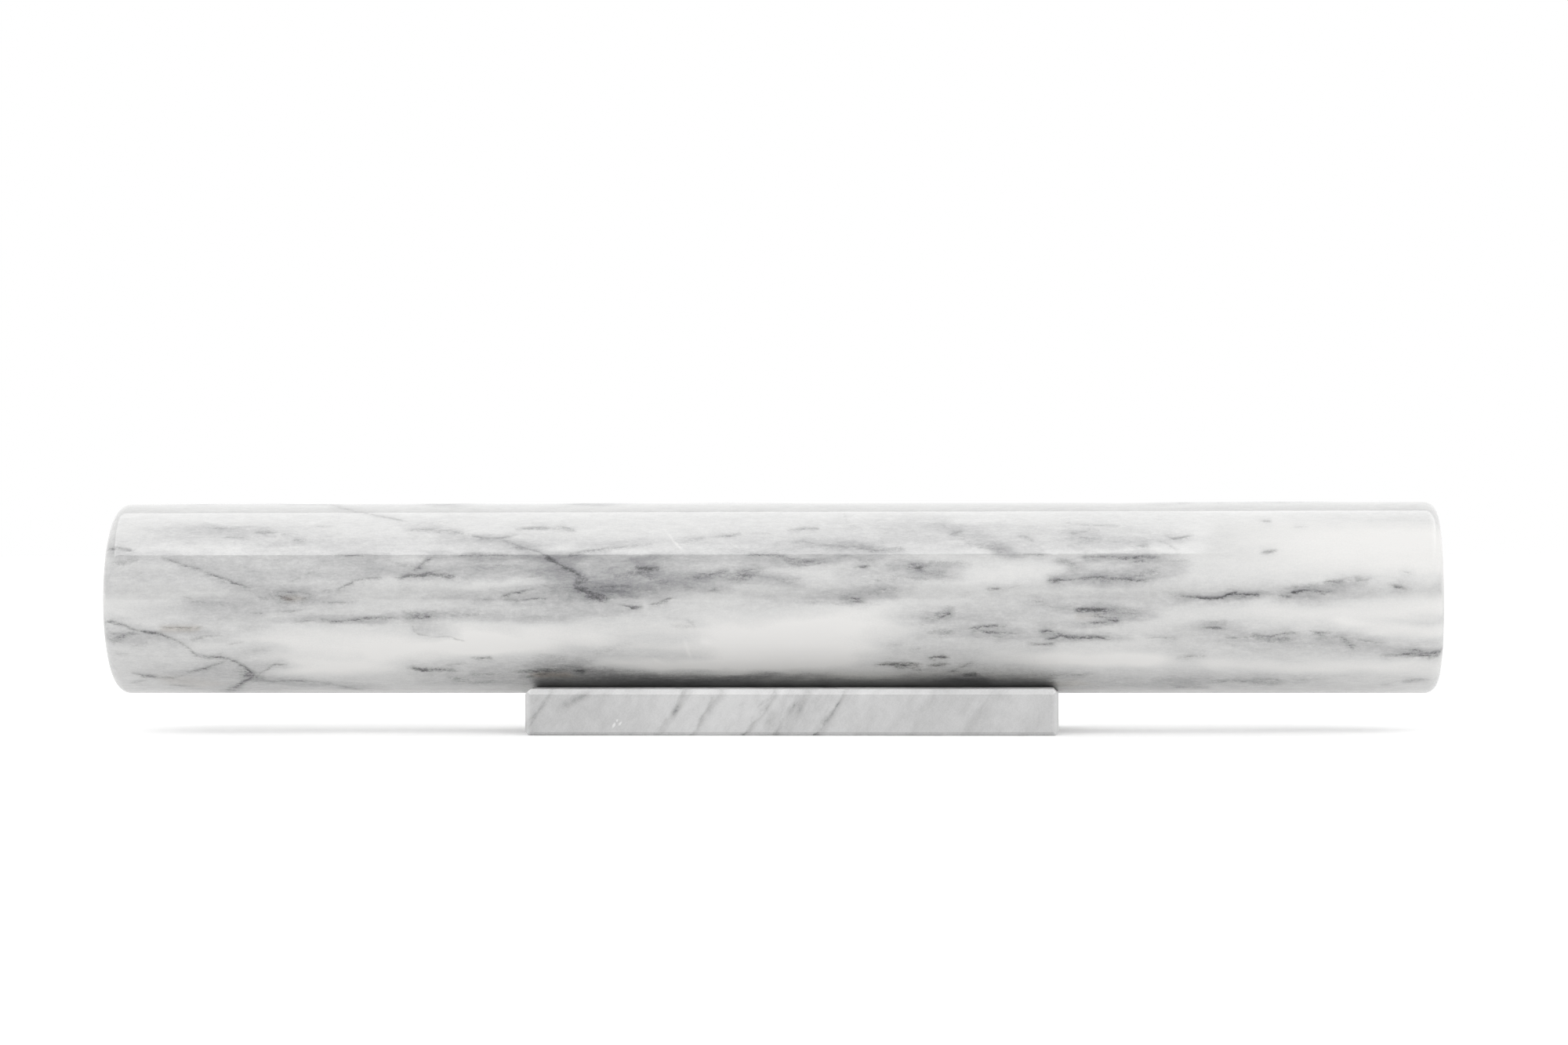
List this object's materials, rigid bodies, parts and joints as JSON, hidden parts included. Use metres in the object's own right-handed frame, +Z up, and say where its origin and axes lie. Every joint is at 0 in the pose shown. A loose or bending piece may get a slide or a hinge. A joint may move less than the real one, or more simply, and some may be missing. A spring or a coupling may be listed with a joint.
{
  "type": "rolling pin with base",
  "caption": "Solid marble rolling pin, a handle-less polished cylinder, lying in the shallow groove of a low marble base.",
  "frame": {"origin": "on the underside of the base, below the middle of the pin, which is the bottom centre of the whole object's box", "axes": "+X along the pin's axis, +Z up, so -Y faces the viewer of the front"},
  "size_m": [0.345, 0.056, 0.0597],
  "materials": {
    "pin_marble": "polished white marble with grey clouds and fine dark veins",
    "base_marble": "honed pale grey marble with slanting grey veins"
  },
  "bodies": {
    "base": {"base": "base_marble"},
    "rolling_pin": {"rolling_pin": "pin_marble"}
  },
  "joints": [
    {"name": "pin_lift", "type": "slide", "parent": "base", "child": "rolling_pin", "axis": [0, 0, 1], "range_m": [0, 0.1]}
  ]
}
